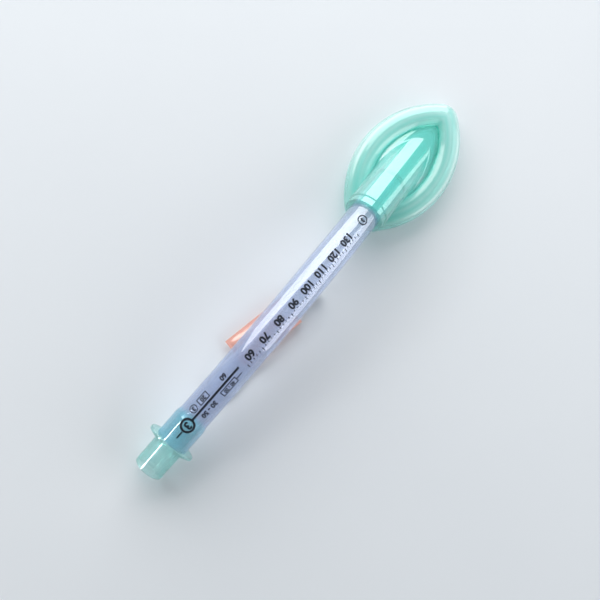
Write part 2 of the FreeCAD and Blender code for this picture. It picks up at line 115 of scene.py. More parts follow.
class Shader:
    """The node tree of one finish."""

    def __init__(self, name: str) -> None:
        """Starts a material with its usual surface node."""
        self.material = bpy.data.materials.new(name)
        self.material.use_nodes = True
        self.tree = self.material.node_tree
        self.surface = self.tree.nodes["Principled BSDF"]

    def node(
        self,
        kind: str,
        settings: dict[str, object] | None = None,
        inputs: dict[str | int, object] | None = None,
        output: str | int = 0,
    ) -> Channel:
        """Adds one node.

        Args:
            kind: The node's type.
            settings: Its own settings, or "stops" for a ramp.
            inputs: The values or links of its sockets.
            output: The socket to hand back.

        Returns:
            That socket.
        """
        made = self.tree.nodes.new(kind)
        for name, value in (settings or {}).items():
            if name == "stops":
                self._set_stops(made, value)
            else:
                setattr(made, name, value)
        for key, value in (inputs or {}).items():
            self._feed(made.inputs[key], value)
        return Channel(self, made.outputs[output])

    def _set_stops(self, ramp: bpy.types.Node, stops: Sequence[tuple[float, Colour]]) -> None:
        """Sets a colour ramp's stops."""
        elements = ramp.color_ramp.elements
        while len(elements) < len(stops):
            elements.new(1.0)
        for element, (place, colour) in zip(elements, stops):
            element.position = place
            element.color = (*colour, 1.0)

    def _feed(self, socket: bpy.types.NodeSocket, value: object) -> None:
        """Links a channel to a socket, or sets a value on it."""
        if isinstance(value, Channel):
            self.tree.links.new(value.socket, socket)
        else:
            socket.default_value = value

    def place(self, scale: Sequence[float] = (1, 1, 1)) -> Channel:
        """Object coordinates, stretched."""
        coords = self.node("ShaderNodeTexCoord", output="Object")
        return self.node("ShaderNodeMapping", {}, {"Vector": coords, "Scale": scale})

    def noise(self, where: Channel, scale: float, detail: float = 3.0, roughness: float = 0.5) -> Channel:
        """A noise from 0 to 1."""
        return self.node(
            "ShaderNodeTexNoise",
            {},
            {"Vector": where, "Scale": scale, "Detail": detail, "Roughness": roughness},
        )

    def ramp(self, factor: Channel, stops: Sequence[tuple[float, Colour]]) -> Channel:
        """A colour from a row of (place, colour) stops."""
        return self.node("ShaderNodeValToRGB", {"stops": stops}, {"Fac": factor})

    def ease(self, value: Channel, start: float, end: float) -> Channel:
        """A smooth step from 0 to 1 while a value goes from a start to an end."""
        return self.node(
            "ShaderNodeMapRange",
            {"interpolation_type": "SMOOTHSTEP"},
            {"Value": value, "From Min": start, "From Max": end},
        )

    def part(self, axis: str) -> Channel:
        """One of the object coordinates, in metres."""
        return self.node("ShaderNodeSeparateXYZ", {}, {0: self.place()}, output=axis)

    def blend(self, factor: Channel | float, low: object, high: object) -> Channel:
        """A colour between two others."""
        made = self.tree.nodes.new("ShaderNodeMix")
        made.data_type = "RGBA"
        made.clamp_factor = True
        self._feed(made.inputs[0], factor)
        for socket, value in ((made.inputs[6], low), (made.inputs[7], high)):
            self._feed(socket, value if isinstance(value, Channel) else (*value, 1.0))
        return Channel(self, made.outputs[2])

    def bump(self, height: Channel, strength: float, distance: float) -> Channel:
        """A bump from a height."""
        return self.node(
            "ShaderNodeBump", {}, {"Height": height, "Strength": strength, "Distance": distance}
        )

    def fill(self, colour: Colour, density: float) -> None:
        """Gives the inside a colour that deepens with thickness, at a density per metre."""
        inside = self.tree.nodes.new("ShaderNodeVolumeAbsorption")
        inside.inputs["Color"].default_value = (*colour, 1.0)
        inside.inputs["Density"].default_value = density
        end = self.tree.nodes["Material Output"]
        self.tree.links.new(inside.outputs[0], end.inputs["Volume"])

    def wear(
        self, thinned: float = 1.0, film: Colour = (1.0, 1.0, 1.0), **sockets: object
    ) -> bpy.types.Material:
        """Feeds the surface's sockets and returns the material.

        Args:
            thinned: The surface's share, where the rest lets light straight past.
            film: The tint of what goes straight past.
            sockets: Socket names with underscores for spaces, and their values.

        Returns:
            The finished material.
        """
        if thinned < 1.0:
            past = self.tree.nodes.new("ShaderNodeBsdfTransparent")
            past.inputs["Color"].default_value = (*film, 1.0)
            mix = self.tree.nodes.new("ShaderNodeMixShader")
            mix.inputs[0].default_value = thinned
            self.tree.links.new(past.outputs[0], mix.inputs[1])
            self.tree.links.new(self.surface.outputs[0], mix.inputs[2])
            self.tree.links.new(mix.outputs[0], self.tree.nodes["Material Output"].inputs["Surface"])
        for name, value in sockets.items():
            if isinstance(value, tuple) and len(value) == 3:
                value = (*value, 1.0)
            self._feed(self.surface.inputs[name.replace("_", " ")], value)
        return self.material


@dataclass(frozen=True)
class ClungTintAndPaintedSheen:
    """Where one plastic clings to another, the colour of the one beneath comes through; on the tube the same
    tint is a painted sheen that makes it paler towards the mask.

    The tint is whole up to one place along X and gone at another, both in millimetres.
    """

    colour: Colour
    whole_to: float
    gone_at: float
    strength: float = 0.85

    def over(self, shader: Shader, base: Channel) -> Channel:
        """Lays the tint over a colour."""
        share = shader.ease(shader.part("X"), self.gone_at * MM, self.whole_to * MM)
        return shader.blend(share * self.strength, base, self.colour)


@dataclass(frozen=True)
class PaintedSideSheen:
    """A painted reflection: the sides of a clear sleeve made paler, standing in for the pale surroundings
    mirrored in them.

    The tint begins at one distance from the middle plane and is whole at another, and it fades
    out between two places along X, all in millimetres.
    """

    colour: Colour
    begins: float
    whole_at: float
    whole_to: float
    gone_at: float
    strength: float = 0.8

    def over(self, shader: Shader, base: Channel) -> Channel:
        """Lays the tint over a colour."""
        side = shader.part("Y")
        across = shader.ease(side * side, (self.begins * MM) ** 2, (self.whole_at * MM) ** 2)
        along = shader.ease(shader.part("X"), self.gone_at * MM, self.whole_to * MM)
        return shader.blend(across * along * self.strength, base, self.colour)


@dataclass(frozen=True)
class OutlineTintAndPaintedLight:
    """Bands that follow the mask's outline, by the distance inwards from it in millimetres: a deeper colour
    where more plastic is looked through, and on the cuff painted highlights and shade.
    """

    stops: tuple[tuple[float, Colour], ...]
    below: float = 100.0
    strength: float = 0.9
    side_radius: float = 48.5655
    side_x: float = 79.4639
    side_y: float = 24.5655
    reach: float = 16.0
    fade: float = 1.5

    def over(self, shader: Shader, base: Channel) -> Channel:
        """Lays the bands over a colour, up to a height."""
        flat = shader.place((1, 1, 0))
        away = [
            shader.node(
                "ShaderNodeVectorMath",
                {"operation": "DISTANCE"},
                {0: flat, 1: (self.side_x * MM, side * self.side_y * MM, 0)},
                output="Value",
            )
            for side in (-1, 1)
        ]
        farther = shader.node("ShaderNodeMath", {"operation": "MAXIMUM"}, {0: away[0], 1: away[1]})
        inwards = (self.side_radius * MM - farther) * (1 / (self.reach * MM))
        bands = shader.ramp(inwards, [(at / self.reach, colour) for at, colour in self.stops])
        low = shader.ease(shader.part("Z"), (self.below + self.fade) * MM, self.below * MM)
        return shader.blend(low * self.strength, base, bands)


class Clarity(Enum):
    """A plastic's transmission weight, and its surface's share where the rest lets light past."""

    CLEAR = (0.72, 0.60)
    HAZY = (0.52, 0.58)
    LUCID = (0.35, 0.58)
    FILMY = (0.0, 0.42)
    MILKY = (0.0, 0.60)


@dataclass(frozen=True)
class ClearPlastic:
    """A tinted, see-through plastic: thicker stretches look deeper in colour.

    Its surface carries faint flow lines from its moulding or extrusion, and a little haze, and its colour can
    carry layers of painted highlight, reflection and shade.
    """

    name: str
    haze: Colour
    haze_shade: Colour
    clarity: Clarity
    gloss: float
    body: Colour = (1.0, 1.0, 1.0)
    density: float = 0.0
    film: Colour = (1.0, 1.0, 1.0)
    shine: float = 0.9
    coat_refraction: float = 1.9
    coat_roughness: float = 0.03
    refraction: float = 1.45
    streaks_per_metre: float = 420.0
    streak_scale: tuple[float, float, float] = (1.0, 1.0, 1.0)
    grit_per_metre: float = 2600.0
    cloud_size: float = 0.02
    waviness: float = 0.03
    wave_depth: float = 0.0001
    streak_share: float = 0.4
    grit_share: float = 0.2
    streak_haze: float = 0.04
    grit_haze: float = 0.03
    tints_and_painted_light: tuple[ClungTintAndPaintedSheen | PaintedSideSheen | OutlineTintAndPaintedLight, ...] = ()

    def material(self) -> bpy.types.Material:
        """The finished material."""
        shader = Shader(self.name)
        streaks = shader.noise(shader.place(self.streak_scale), self.streaks_per_metre, 4.0, 0.6)
        clouds = shader.noise(shader.place(), 1.0 / self.cloud_size)
        grit = shader.noise(shader.place(), self.grit_per_metre, 2.0)
        passes, solid = self.clarity.value
        if self.density:
            shader.fill(self.body, self.density)
        patches = clouds * (1 - self.streak_share) + streaks * self.streak_share
        colour = shader.blend(patches, self.haze_shade, self.haze)
        # colour layers, some of which are painted highlight, reflection and shade
        for tint in self.tints_and_painted_light:
            colour = tint.over(shader, colour)
        haze = streaks * self.streak_haze + grit * self.grit_haze
        waves = streaks * (1 - self.grit_share) + grit * self.grit_share
        return shader.wear(
            Base_Color=colour,
            Roughness=self.gloss + haze,
            Normal=shader.bump(waves, self.waviness, self.wave_depth),
            Transmission_Weight=passes,
            IOR=self.refraction,
            Specular_IOR_Level=self.shine,
            Coat_Weight=1.0,
            Coat_IOR=self.coat_refraction,
            Coat_Roughness=self.coat_roughness,
            thinned=solid,
            film=self.film,
        )


@dataclass(frozen=True)
class SolidPlastic:
    """An opaque moulded plastic or rubber with a fine satin grain."""

    name: str
    colour: Colour
    shade: Colour
    roughness: float = 0.4
    grain_per_metre: float = 3200.0
    clouds_per_metre: float = 240.0
    grain_share: float = 0.3
    grain_haze: float = 0.12
    grain_strength: float = 0.25
    grain_depth: float = 0.00005

    def material(self) -> bpy.types.Material:
        """The finished material."""
        shader = Shader(self.name)
        fine = shader.noise(shader.place(), self.grain_per_metre)
        broad = shader.noise(shader.place(), self.clouds_per_metre, 2.0)
        patches = broad * (1 - self.grain_share) + fine * self.grain_share
        return shader.wear(
            Base_Color=shader.blend(patches, self.shade, self.colour),
            Roughness=self.roughness + (fine - 0.5) * self.grain_haze,
            Normal=shader.bump(fine, self.grain_strength, self.grain_depth),
        )


@dataclass(frozen=True)
class PrintInk:
    """Pad-printed ink: dense, slightly uneven, with a soft shine."""

    name: str
    colour: Colour = (0.006, 0.008, 0.014)
    thin: Colour = (0.02, 0.024, 0.034)
    specks_per_metre: float = 5200.0
    speck_depth: float = 0.00003
    speck_strength: float = 0.2
    speck_haze: float = 0.2
    thins_between: tuple[float, float] = (0.5, 0.78)
    roughness: float = 0.42
    shine: float = 0.25

    def material(self) -> bpy.types.Material:
        """The finished material."""
        shader = Shader(self.name)
        speckle = shader.noise(shader.place(), self.specks_per_metre, 4.0, 0.7)
        spread = shader.ramp(speckle, list(zip(self.thins_between, ((0, 0, 0), (1, 1, 1)))))
        return shader.wear(
            Base_Color=shader.blend(spread, self.colour, self.thin),
            Roughness=self.roughness + speckle * self.speck_haze,
            Normal=shader.bump(speckle, self.speck_strength, self.speck_depth),
            Specular_IOR_Level=self.shine,
        )


@dataclass(frozen=True)
class SpringWire:
    """Drawn steel wire with fine lines round it."""

    name: str
    colour: Colour = (0.62, 0.62, 0.64)
    dull: Colour = (0.42, 0.42, 0.45)
    lines_per_metre: float = 1800.0
    line_depth: float = 0.00002
    line_strength: float = 0.15
    line_haze: float = 0.18
    roughness: float = 0.22

    def material(self) -> bpy.types.Material:
        """The finished material."""
        shader = Shader(self.name)
        lines = shader.noise(shader.place((1.0, 6.0, 6.0)), self.lines_per_metre, 4.0, 0.65)
        return shader.wear(
            Base_Color=shader.blend(lines, self.dull, self.colour),
            Metallic=1.0,
            Roughness=self.roughness + lines * self.line_haze,
            Normal=shader.bump(lines, self.line_strength, self.line_depth),
        )


@dataclass(frozen=True)
class PaleTable:
    """The plain table, with the faintest cloudiness."""

    name: str
    colour: Colour = (0.76, 0.80, 0.84)
    shade: Colour = (0.725, 0.765, 0.81)
    clouds_per_metre: float = 9.0
    cloud_haze: float = 0.1
    roughness: float = 0.75
    shine: float = 0.2

    def material(self) -> bpy.types.Material:
        """The finished material."""
        shader = Shader(self.name)
        clouds = shader.noise(shader.place(), self.clouds_per_metre)
        return shader.wear(
            Base_Color=shader.blend(clouds, self.shade, self.colour),
            Roughness=self.roughness + clouds * self.cloud_haze,
            Specular_IOR_Level=self.shine,
        )


TUBE_VINYL = ClearPlastic(
    "tube_vinyl",
    haze=(0.49, 0.59, 0.82),
    haze_shade=(0.43, 0.53, 0.78),
    body=(0.30, 0.44, 0.68),
    density=45.0,
    clarity=Clarity.HAZY,
    gloss=0.03,
    refraction=1.5,
    streak_scale=(0.04, 0.8, 0.8),
    cloud_size=0.03,
    waviness=0.003,
    tints_and_painted_light=(
        # painted sheen: the tube made paler towards the mask, standing in for the brighter reflections on
        # that half
        ClungTintAndPaintedSheen((0.70, 0.79, 0.94), 40.0, -60.0, 0.7),
        ClungTintAndPaintedSheen((0.18, 0.64, 0.80), -87.0, -84.5, 0.95),
    ),
)
CONNECTOR_PLASTIC = ClearPlastic(
    "connector_plastic",
    haze=(0.76, 0.96, 0.95),
    haze_shade=(0.68, 0.93, 0.92),
    body=(0.10, 0.74, 0.70),
    density=165.0,
    clarity=Clarity.CLEAR,
    gloss=0.02,
    streak_scale=(0.3, 1.0, 1.0),
    waviness=0.02,
)
PLATE_PLASTIC = ClearPlastic(
    "plate_plastic",
    haze=(0.14, 0.88, 0.79),
    haze_shade=(0.09, 0.85, 0.75),
    body=(0.02, 0.88, 0.78),
    density=100.0,
    clarity=Clarity.LUCID,
    gloss=0.02,
    coat_refraction=2.3,
    refraction=1.35,
    streak_scale=(0.4, 1.0, 1.0),
    waviness=0.02,
    tints_and_painted_light=(
        OutlineTintAndPaintedLight(
            ((0.0, (0.02, 0.60, 0.48)), (12.2, (0.02, 0.62, 0.50)), (13.6, (0.14, 0.90, 0.81))),
            below=11.5,
        ),
        # painted reflection: the neck's sides made paler
        PaintedSideSheen((0.62, 0.93, 0.94), 4.5, 8.0, 78.0, 88.0, 0.8),
    ),
)
CUFF_FILM = ClearPlastic(
    "cuff_film",
    haze=(0.30, 0.86, 0.77),
    haze_shade=(0.22, 0.81, 0.71),
    clarity=Clarity.FILMY,
    gloss=0.08,
    film=(0.76, 0.975, 0.95),
    cloud_size=0.012,
    waviness=0.05,
    tints_and_painted_light=(
        # painted light on the cuff: the pale band at the outer rim is a painted highlight, and the light and
        # dark rings from 4 to 11 mm in are painted highlights and shade; the deep green at the inner edge is
        # the colour seen through more film
        OutlineTintAndPaintedLight(
            (
                (0.0, (0.90, 0.98, 0.97)),
                (1.9, (0.88, 0.97, 0.96)),
                (3.0, (0.56, 0.91, 0.86)),
                (4.4, (0.40, 0.86, 0.80)),
                (6.0, (0.62, 0.92, 0.89)),
                (7.6, (0.40, 0.86, 0.80)),
                (9.2, (0.56, 0.91, 0.87)),
                (10.8, (0.24, 0.80, 0.72)),
                (12.4, (0.05, 0.70, 0.58)),
            ),
        ),
        ClungTintAndPaintedSheen((0.05, 0.70, 0.60), 50.0, 72.0, 0.45),
    ),
)
BALLOON_FILM = ClearPlastic(
    "balloon_film",
    haze=(0.93, 0.52, 0.42),
    haze_shade=(0.90, 0.44, 0.35),
    clarity=Clarity.MILKY,
    gloss=0.14,
    film=(0.98, 0.80, 0.74),
    waviness=0.08,
)
LINE_VINYL = ClearPlastic(
    "line_vinyl",
    haze=(0.86, 0.90, 0.91),
    haze_shade=(0.80, 0.85, 0.87),
    clarity=Clarity.MILKY,
    gloss=0.10,
)
VALVE_WHITE = SolidPlastic("valve_white", (0.82, 0.84, 0.86), (0.76, 0.78, 0.81))
PLUNGER_BLUE = SolidPlastic("plunger_blue", (0.10, 0.22, 0.56), (0.07, 0.17, 0.48))
SEAL_RUBBER = SolidPlastic("seal_rubber", (0.03, 0.03, 0.033), (0.018, 0.018, 0.02), 0.6)
BLACK_INK = PrintInk("black_ink")
WIRE_STEEL = SpringWire("spring_steel")
TABLE_TOP = PaleTable("table_top")


# Mesh helpers


def circle(radius: float, count: int) -> list[tuple[float, float]]:
    """Points round a circle about zero, anticlockwise from the first axis."""
    angles = [2 * math.pi * i / count for i in range(count)]
    return [(radius * math.cos(angle), radius * math.sin(angle)) for angle in angles]


def level(angle: float) -> Vector:
    """The level way at an angle from +X towards +Y."""
    return Vector((math.cos(angle), math.sin(angle), 0))


def aligned(middle: Vector, way: Vector) -> Matrix:
    """The placing that takes the origin to a point and turns +Z along a way."""
    return Matrix.Translation(middle) @ Vector((0, 0, 1)).rotation_difference(way).to_matrix().to_4x4()


def loft(form: bmesh.types.BMesh, loops: Sequence[list[bmesh.types.BMVert]], closed: bool) -> None:
    """Joins loops of as many points each with quads.

    Args:
        form: The edit mesh.
        loops: The loops, in order.
        closed: Whether the last loop joins the first.
    """
    following = [*loops[1:], loops[0]] if closed else loops[1:]
    for loop, after in zip(loops, following):
        for i in range(len(loop)):
            j = (i + 1) % len(loop)
            form.faces.new((loop[i], loop[j], after[j], after[i]))


def linked(name: str, data: bpy.types.ID) -> bpy.types.Object:
    """Puts a new object with its data into the scene."""
    made = bpy.data.objects.new(name, data)
    bpy.context.scene.collection.objects.link(made)
    return made


def coat(mesh: bpy.types.Mesh, material: bpy.types.Material) -> None:
    """Gives a mesh one finish in place of what it has."""
    mesh.materials.clear()
    mesh.materials.append(material)


def mesh_object(
    name: str, mesh: bpy.types.Mesh, material: bpy.types.Material | None
) -> bpy.types.Object:
    """Links a mesh to the scene under a name, with its finish."""
    piece = linked(name, mesh)
    if material is not None:
        coat(mesh, material)
    return piece


def smooth(mesh: bpy.types.Mesh, angle: float = 35.0) -> None:
    """Shades a mesh smooth, apart from its edges sharper than an angle in degrees."""
    mesh.shade_smooth()
    mesh.set_sharp_from_angle(angle=math.radians(angle))


def from_bmesh(
    name: str, form: bmesh.types.BMesh, material: bpy.types.Material | None, angle: float = 35.0
) -> bpy.types.Object:
    """Turns an edit mesh into a piece with outward faces.

    Args:
        name: The piece's name.
        form: The edit mesh, which is freed.
        material: Its finish.
        angle: Edges sharper than this stay sharp, in degrees.

    Returns:
        The piece.
    """
    bmesh.ops.recalc_face_normals(form, faces=form.faces)
    mesh = bpy.data.meshes.new(name)
    form.to_mesh(mesh)
    form.free()
    smooth(mesh, angle)
    return mesh_object(name, mesh, material)


def finished_copy(
    node: str, name: str, material: bpy.types.Material, body: str, slot: str
) -> bpy.types.Object:
    """The solid of a node as one welded piece with its exact normals, which stands for it.

    Args:
        node: The node's name.
        name: The piece's name.
        material: Its finish.
        body: The body it rides on.
        slot: The record's material slot; not used.

    Returns:
        The piece.
    """
    source = next(o for o in bpy.data.objects if o.get("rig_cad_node") == node)
    mesh = source.data.copy()
    mesh.name = name
    kept = mesh.attributes.new("kept", "FLOAT_VECTOR", "CORNER")
    kept.data.foreach_set("vector", [part for corner in mesh.corner_normals for part in corner.vector])
    form = bmesh.new()
    form.from_mesh(mesh)
    bmesh.ops.remove_doubles(form, verts=form.verts, dist=WELD)
    form.to_mesh(mesh)
    form.free()
    kept = mesh.attributes["kept"]
    exact = [tuple(corner.vector) for corner in kept.data]
    mesh.attributes.remove(kept)
    mesh.normals_split_custom_set(exact)
    piece = mesh_object(name, mesh, material)
    settle(piece, body, slot, node)
    return piece


def settle(piece: bpy.types.Object, body: str, slot: str, *nodes: str) -> None:
    """Puts a piece on its body and hides the nodes that it stands for."""
    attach(piece, body)
    if nodes:
        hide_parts(*nodes)
    LOG.info("%s: %d faces on %s", piece.name, len(getattr(piece.data, "polygons", ())), body)


def cut_away(piece: bpy.types.Object, tool: bpy.types.Object, operation: str = "DIFFERENCE") -> None:
    """Cuts one mesh with another, or joins them, and drops the tool.

    Args:
        piece: The mesh that changes.
        tool: The other one.
        operation: DIFFERENCE or UNION.
    """
    modifier = piece.modifiers.new("cut", "BOOLEAN")
    modifier.object = tool
    modifier.operation = operation
    modifier.solver = "EXACT"
    bake(piece)
    bpy.data.objects.remove(tool)


def bake(piece: bpy.types.Object) -> None:
    """Applies a piece's modifiers to its mesh."""
    graph = bpy.context.evaluated_depsgraph_get()
    done = bpy.data.meshes.new_from_object(piece.evaluated_get(graph))
    old = piece.data
    piece.modifiers.clear()
    piece.data = done
    done.name = old.name
    bpy.data.meshes.remove(old)


class NodeKit:
    """A Geometry Nodes tree with a named input for each value, made node by node."""

    SOCKETS = {int: "NodeSocketInt", float: "NodeSocketFloat", bpy.types.Material: "NodeSocketMaterial"}

    def __init__(self, name: str, values: dict[str, int | float | bpy.types.Material]) -> None:
        """Starts a tree.

        Args:
            name: The tree's name.
            values: The inputs' names and values.
        """
        self.values = values
        self.tree = bpy.data.node_groups.new(name, "GeometryNodeTree")
        for label, value in values.items():
            kind = self.SOCKETS[type(value)]
            self.tree.interface.new_socket(label, in_out="INPUT", socket_type=kind)
        self.tree.interface.new_socket("Mesh", in_out="OUTPUT", socket_type="NodeSocketGeometry")
        self.given = self.tree.nodes.new("NodeGroupInput").outputs

    def add(self, kind: str, inputs: dict[str | int, object], **settings: object) -> bpy.types.NodeSocket:
        """Adds one node and returns its first output.

        Args:
            kind: The node's type.
            inputs: The values or links of its sockets.
            settings: Its own settings.

        Returns:
            The first output socket.
        """
        made = self.tree.nodes.new(kind)
        for key, value in settings.items():
            setattr(made, key, value)
        for key, value in inputs.items():
            if isinstance(value, bpy.types.NodeSocket):
                self.tree.links.new(value, made.inputs[key])
            else:
                made.inputs[key].default_value = value
        return made.outputs[0]

    def end(self, geometry: bpy.types.NodeSocket) -> None:
        """Makes the copies real, gives them the input's finish and hands them out."""
        real = self.add("GeometryNodeRealizeInstances", {"Geometry": geometry})
        done = self.add("GeometryNodeSetMaterial", {"Geometry": real, "Material": self.given["Finish"]})
        handed = self.tree.nodes.new("NodeGroupOutput")
        self.tree.links.new(done, handed.inputs[0])

    def run(self, name: str) -> bpy.types.Object:
        """Runs the tree with its values on an empty mesh and returns the baked piece."""
        holder = mesh_object(name, bpy.data.meshes.new(name), None)
        modifier = holder.modifiers.new(name, "NODES")
        modifier.node_group = self.tree
        for item in self.tree.interface.items_tree:
            if item.in_out == "INPUT":
                modifier[item.identifier] = self.values[item.name]
        bake(holder)
        return holder


# The airway's own geometry


@dataclass(frozen=True)
class TubeRoute:
    """The tube's middle line, from the connector's flange into the mask, and its outer size."""

    flange: tuple[float, float] = (-99.7646, 13.9566)
    neck_mouth: tuple[float, float] = (43.0294, 21.1779)
    arch_centre: tuple[float, float] = (-19.3426, -133.1983)
    arch_radius: float = 166.5
    rise_deg: float = 21.808
    fall_deg: float = 22.0
    straight: float = 20.0
    radius: float = 7.9
    flare_radius: float = 8.55
    flare_length: float = 13.2
    flare_slope: float = 2.6
    bore: float = 5.3
    socket_bore: float = 6.3
    last: float = 24.5

    @property
    def arch_length(self) -> float:
        """The length of the bent stretch, in millimetres."""
        return self.arch_radius * math.radians(self.rise_deg + self.fall_deg)

    def around(self, way: Vector, angle: float) -> Vector:
        """The way out from the middle line, at an angle from the top line towards -Y."""
        up = Vector((-way.z, 0, way.x))
        return up * math.cos(angle) + Vector((0, -1, 0)) * math.sin(angle)

    def at(self, distance: float) -> tuple[Vector, Vector]:
        """The point at a distance from the flange, and the way on from there, in millimetres."""
        rise, fall = math.radians(self.rise_deg), math.radians(self.fall_deg)
        if distance < self.straight:
            way = Vector((math.cos(rise), 0, math.sin(rise)))
            return Vector((self.flange[0], 0, self.flange[1])) + way * distance, way
        past = distance - self.straight
        if past < self.arch_length:
            angle = past / self.arch_radius - rise
            way = Vector((math.cos(angle), 0, -math.sin(angle)))
            up = Vector((math.sin(angle), 0, math.cos(angle)))
            centre = Vector((self.arch_centre[0], 0, self.arch_centre[1]))
            return centre + up * self.arch_radius, way
        way = Vector((math.cos(fall), 0, -math.sin(fall)))
        mouth = Vector((self.neck_mouth[0], 0, self.neck_mouth[1]))
        return mouth + way * (past - self.arch_length), way

    def outside(self, distance: float) -> float:
        """The outer radius at a distance from the flange, in millimetres."""
        past = distance - self.flare_length
        if past <= 0:
            return self.flare_radius
        if past >= self.flare_slope:
            return self.radius
        return self.flare_radius + (self.radius - self.flare_radius) * past / self.flare_slope

    @property
    def length(self) -> float:
        """The tube's whole length, in millimetres."""
        return self.straight + self.arch_length + self.last

    def skin(self, step: float = 1.0) -> list[tuple[float, float]]:
        """The wall's closed outline as (distance, radius), out along the outside and back inside."""
        turns = [0.0, self.flare_length, self.flare_length + self.flare_slope, self.length]
        stations = [0.0]
        for first, last in zip(turns, turns[1:]):
            count = max(1, round((last - first) / step))
            stations += [first + (last - first) * i / count for i in range(1, count + 1)]
        widening = (self.socket_bore - self.bore) / (self.flare_radius - self.radius)
        return [(d, self.outside(d)) for d in stations] + [
            (d, self.bore + (self.outside(d) - self.radius) * widening) for d in reversed(stations)
        ]

    def on_surface(self, distance: float, across: float, lift: float) -> Vector:
        """A point on the tube's outside, in metres.

        Args:
            distance: How far from the flange, along the tube, in millimetres.
            across: How far round from the top line, towards -Y, in millimetres.
            lift: How far above the surface, in millimetres.

        Returns:
            The point.
        """
        centre, way = self.at(distance)
        radius = self.outside(distance)
        return (centre + self.around(way, across / radius) * (radius + lift)) * MM


ROUTE = TubeRoute()


@dataclass(frozen=True)
class TickRow:
    """A row of graduation ticks along the tube, every so many of them long, in millimetres."""

    start: float = 52.0
    end: float = 132.0
    spacing: float = 2.0
    every: int = 5
    side: float = 2.5
    short: float = 0.9
    tall: float = 1.7
    width: float = 0.42

    def build(self) -> bpy.types.Object:
        """The flat ticks, repeated by a small node tree."""
        kit = NodeKit(
            "tick_row",
            {
                "Start": self.start,
                "Side": self.side,
                "Spacing": self.spacing,
                "Count": int((self.end - self.start) / self.spacing) + 1,
                "Every": self.every,
                "Short": self.short,
                "Long": self.tall,
                "Width": self.width,
                "Finish": BLACK_INK.material(),
            },
        )
        given, add = kit.given, kit.add
        begin = add("ShaderNodeCombineXYZ", {"X": given["Start"], "Y": given["Side"]})
        step = add("ShaderNodeCombineXYZ", {"X": given["Spacing"]})
        row = add(
            "GeometryNodeMeshLine",
            {"Count": given["Count"], "Start Location": begin, "Offset": step},
            mode="OFFSET",
        )
        index = add("GeometryNodeInputIndex", {})
        left = add("ShaderNodeMath", {0: index, 1: given["Every"]}, operation="MODULO")
        is_long = add("ShaderNodeMath", {0: left, 1: 0.5}, operation="LESS_THAN")
        length = add(
            "ShaderNodeMix", {0: is_long, 2: given["Short"], 3: given["Long"]}, data_type="FLOAT"
        )
        size = add("ShaderNodeCombineXYZ", {"X": 1.0, "Y": length, "Z": 1.0})
        tick = add(
            "GeometryNodeMeshGrid",
            {"Size X": given["Width"], "Size Y": 1.0, "Vertices X": 2, "Vertices Y": 2},
        )
        moved = add("GeometryNodeTransform", {"Geometry": tick, "Translation": (0.0, 0.5, 0.0)})
        kit.end(add("GeometryNodeInstanceOnPoints", {"Points": row, "Instance": moved, "Scale": size}))
        return kit.run("ticks")


